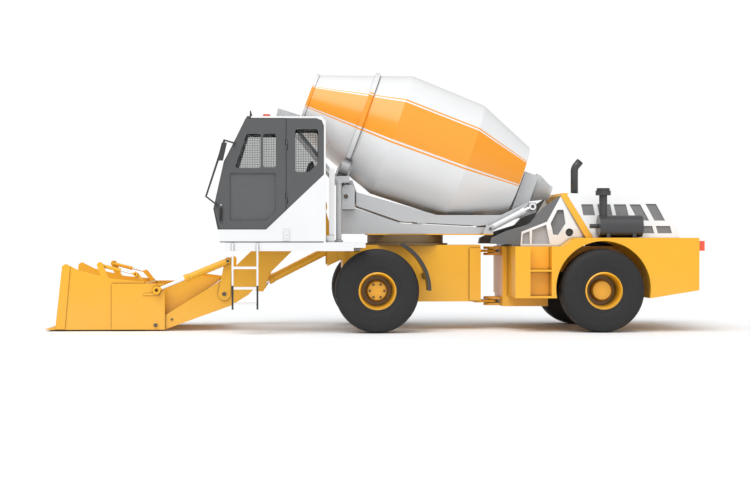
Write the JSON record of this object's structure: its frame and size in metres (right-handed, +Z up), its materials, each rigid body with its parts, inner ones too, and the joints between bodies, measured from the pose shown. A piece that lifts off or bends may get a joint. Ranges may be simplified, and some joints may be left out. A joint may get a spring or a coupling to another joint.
{
  "type": "self-loading concrete mixer",
  "caption": "Articulated self-loading concrete mixer with an offset cab, side-mounted loader bucket with rear gate, slewing tilted drum and rear engine.",
  "frame": {"origin": "centre of the overall box on the ground, under the wheels", "axes": "+X towards the engine at the rear, -X towards the bucket, -Y the cab side, +Z up"},
  "size_m": [9.085, 2.74, 3.6715],
  "materials": {
    "yellow_paint": "gloss",
    "white_paint": "gloss",
    "dark_paint": "satin",
    "grey_paint": "satin",
    "black_paint": "satin",
    "tyre_rubber": "matte",
    "rod_chrome": "polished",
    "glass": "clear",
    "seat_cover": "matte",
    "console_plastic": "matte",
    "lamp": "gloss",
    "engine_iron": "matte",
    "roller_steel": "satin"
  },
  "bodies": {
    "chassis_front": {"front_frame": "yellow_paint", "front_axle": "black_paint", "slew_ring": "dark_paint", "cab_platform": "white_paint", "cab_tub": "white_paint", "cab_frame": "dark_paint", "cab_glass": "glass", "cab_seat": "seat_cover", "cab_console": "console_plastic", "access_ladder": "white_paint", "mudguards": "black_paint", "control_stand": "white_paint", "oil_column": "grey_paint", "roof_beacon": "lamp", "roof_aerial": "black_paint"},
    "door": {"cab_door": "dark_paint", "door_glass": "glass", "mirror": "black_paint"},
    "chassis_rear": {"rear_frame": "yellow_paint", "rear_axle": "black_paint", "rear_body": "yellow_paint", "hood": "white_paint", "hood_band": "yellow_paint", "hood_nose": "white_paint", "nose_cover": "dark_paint", "engine": "engine_iron", "air_cleaner": "black_paint", "exhaust": "black_paint", "tail_lamps": "lamp"},
    "loader_boom": {"boom": "yellow_paint"},
    "lift_barrels": {"lift_ram_barrels": "yellow_paint"},
    "lift_rods": {"lift_ram_rods": "rod_chrome"},
    "tilt_barrels": {"tilt_ram_barrels": "yellow_paint"},
    "tilt_rods": {"tilt_ram_rods": "rod_chrome"},
    "loader_bucket": {"bucket": "yellow_paint", "chute": "yellow_paint"},
    "gate": {"bucket_gate": "yellow_paint"},
    "gate_barrels": {"gate_ram_barrels": "yellow_paint"},
    "gate_rods": {"gate_ram_rods": "rod_chrome"},
    "slewing_base": {"slew_plate": "yellow_paint", "drum_base": "grey_paint"},
    "drum_barrels": {"drum_ram_barrels": "white_paint"},
    "drum_rods": {"drum_ram_rods": "rod_chrome"},
    "drum_cradle": {"cradle": "grey_paint", "drum_drive": "grey_paint", "drum_rollers": "roller_steel", "charge_hopper": "grey_paint"},
    "mixing_drum": {"drum": "white_paint"},
    "wheel_front_left": {"tyre_front_left": "tyre_rubber", "rim_front_left": "yellow_paint"},
    "wheel_front_right": {"tyre_front_right": "tyre_rubber", "rim_front_right": "yellow_paint"},
    "wheel_rear_left": {"tyre_rear_left": "tyre_rubber", "rim_rear_left": "yellow_paint"},
    "wheel_rear_right": {"tyre_rear_right": "tyre_rubber", "rim_rear_right": "yellow_paint"}
  },
  "joints": [
    {"name": "steer", "type": "hinge", "parent": "chassis_front", "child": "chassis_rear", "pos_m": [1.7275, 0.12, 0.76], "axis": [0, 0, 1], "range_deg": [-35, 35]},
    {"name": "wheel_front_left_spin", "type": "hinge", "parent": "chassis_front", "child": "wheel_front_left", "pos_m": [0.0275, -0.91, 0.575], "axis": [0, 1, 0], "continuous": true},
    {"name": "wheel_front_right_spin", "type": "hinge", "parent": "chassis_front", "child": "wheel_front_right", "pos_m": [0.0275, 1.15, 0.575], "axis": [0, 1, 0], "continuous": true},
    {"name": "wheel_rear_left_spin", "type": "hinge", "parent": "chassis_rear", "child": "wheel_rear_left", "pos_m": [3.1275, -0.91, 0.575], "axis": [0, 1, 0], "continuous": true},
    {"name": "wheel_rear_right_spin", "type": "hinge", "parent": "chassis_rear", "child": "wheel_rear_right", "pos_m": [3.1275, 1.15, 0.575], "axis": [0, 1, 0], "continuous": true},
    {"name": "cab_door_hinge", "type": "hinge", "parent": "chassis_front", "child": "door", "pos_m": [-1.2025, -1.32, 1.41], "axis": [0, 0, 1], "range_deg": [0, 95]},
    {"name": "boom_lift", "type": "hinge", "parent": "chassis_front", "child": "loader_boom", "pos_m": [-0.7925, 0.36, 1.74], "axis": [0, 1, 0], "range_deg": [0, 95]},
    {"name": "lift_barrel_swing", "type": "hinge", "parent": "chassis_front", "child": "lift_barrels", "pos_m": [-0.5725, 0.36, 1.15], "axis": [0, 1, 0], "range_deg": [0, 80]},
    {"name": "lift_rod_slide", "type": "slide", "parent": "lift_barrels", "child": "lift_rods", "axis": [-0.8908, 0, -0.4543], "range_m": [0, 0.82]},
    {"name": "bucket_tilt", "type": "hinge", "parent": "loader_boom", "child": "loader_bucket", "pos_m": [-3.0275, 0.36, 0.084], "axis": [0, -1, 0], "range_deg": [-35, 35]},
    {"name": "tilt_barrel_swing", "type": "hinge", "parent": "loader_boom", "child": "tilt_barrels", "pos_m": [-2.0225, 0.36, 0.978], "axis": [0, 1, 0], "range_deg": [-10, 10]},
    {"name": "tilt_rod_slide", "type": "slide", "parent": "tilt_barrels", "child": "tilt_rods", "axis": [-0.9251, 0, -0.3796], "range_m": [-0.26, 0.26]},
    {"name": "bucket_gate_hinge", "type": "hinge", "parent": "loader_bucket", "child": "gate", "pos_m": [-3.1935, 0.36, 0.64], "axis": [0, -1, 0], "range_deg": [0, 50]},
    {"name": "gate_barrel_swing", "type": "hinge", "parent": "loader_bucket", "child": "gate_barrels", "pos_m": [-3.7975, 0.36, 0.917], "axis": [0, 1, 0], "range_deg": [0, 22]},
    {"name": "gate_rod_slide", "type": "slide", "parent": "gate_barrels", "child": "gate_rods", "axis": [0.9679, 0, -0.2515], "range_m": [-0.03, 0]},
    {"name": "drum_slew", "type": "hinge", "parent": "chassis_front", "child": "slewing_base", "pos_m": [0.4875, 0.12, 1.34], "axis": [0, 0, -1], "range_deg": [0, 90]},
    {"name": "cradle_tilt", "type": "hinge", "parent": "slewing_base", "child": "drum_cradle", "pos_m": [-0.3815, 0.12, 1.877], "axis": [0, -1, 0], "range_deg": [0, 8]},
    {"name": "drum_barrel_swing", "type": "hinge", "parent": "slewing_base", "child": "drum_barrels", "pos_m": [1.6485, 0.12, 1.427], "axis": [0, -1, 0], "range_deg": [0, 23]},
    {"name": "drum_rod_slide", "type": "slide", "parent": "drum_barrels", "child": "drum_rods", "axis": [0.8876, 0, 0.4607], "range_m": [0, 0.24]},
    {"name": "drum_spin", "type": "hinge", "parent": "drum_cradle", "child": "mixing_drum", "pos_m": [2.0975, 0.12, 2.119], "axis": [-0.9397, 0, 0.342], "continuous": true}
  ],
  "couplings": [
    {"joint": "lift_barrel_swing", "follows": "boom_lift", "ratio": 0.805},
    {"joint": "lift_rod_slide", "follows": "boom_lift", "m_per_rad": 0.483},
    {"joint": "tilt_barrel_swing", "follows": "bucket_tilt", "ratio": 0.209},
    {"joint": "tilt_rod_slide", "follows": "bucket_tilt", "m_per_rad": 0.4},
    {"joint": "gate_barrel_swing", "follows": "bucket_gate_hinge", "ratio": 0.387},
    {"joint": "gate_rod_slide", "follows": "bucket_gate_hinge", "m_per_rad": -0.025},
    {"joint": "drum_barrel_swing", "follows": "cradle_tilt", "ratio": 2.67},
    {"joint": "drum_rod_slide", "follows": "cradle_tilt", "m_per_rad": 1.61}
  ]
}
